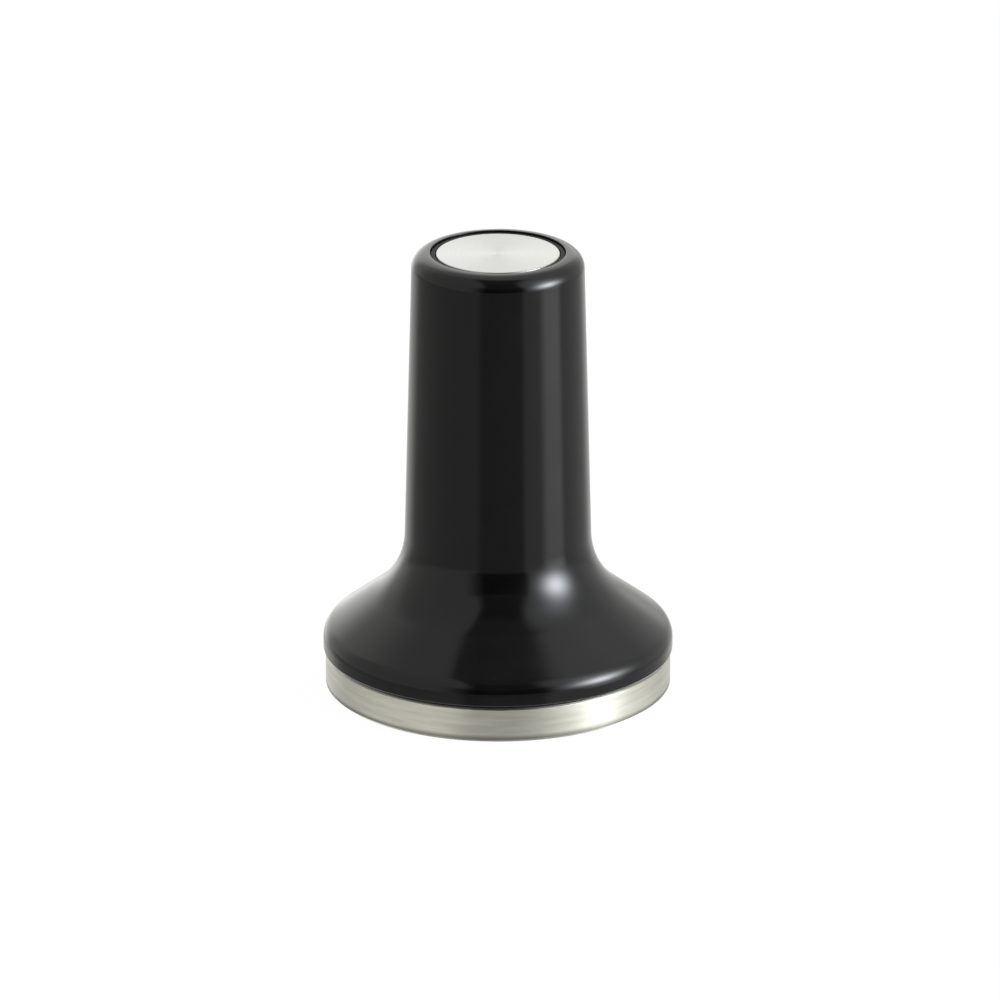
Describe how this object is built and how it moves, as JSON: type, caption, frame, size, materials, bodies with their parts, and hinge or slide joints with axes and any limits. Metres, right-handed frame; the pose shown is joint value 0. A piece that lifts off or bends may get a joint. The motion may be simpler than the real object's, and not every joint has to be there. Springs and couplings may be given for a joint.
{
  "type": "hand press for clay",
  "caption": "Hand press: a flat round steel foot clamped under a flared black handle, with a steel inlay closing the top of the grip.",
  "frame": {"origin": "centre of the foot's flat pressing face", "axes": "+Z along the tool's axis, from the pressing face up to the inlay; X and Y are equal, because the outside is round"},
  "size_m": [0.0546, 0.0546, 0.0708],
  "materials": {
    "gloss_black": "high-gloss moulded black plastic",
    "foot_steel": "stainless steel, brushed round the rim, faced below",
    "inlay_steel": "stainless steel with a fine turned finish",
    "plated_steel": "bright zinc-plated steel",
    "black_rubber": "matte black rubber",
    "grey_nylon": "glass-filled nylon, moulded",
    "foam_tape": "double-sided acrylic foam tape"
  },
  "bodies": {
    "root": {"press_foot": "foot_steel", "foot_boss": "plated_steel", "foot_gasket": "black_rubber", "handle_shell": "gloss_black", "core_sleeve": "grey_nylon", "flat_washer": "plated_steel", "spring_washer": "plated_steel", "tie_screw": "plated_steel", "inlay_pad": "foam_tape", "inlay_ring": "black_rubber", "top_inlay": "inlay_steel"}
  },
  "joints": []
}
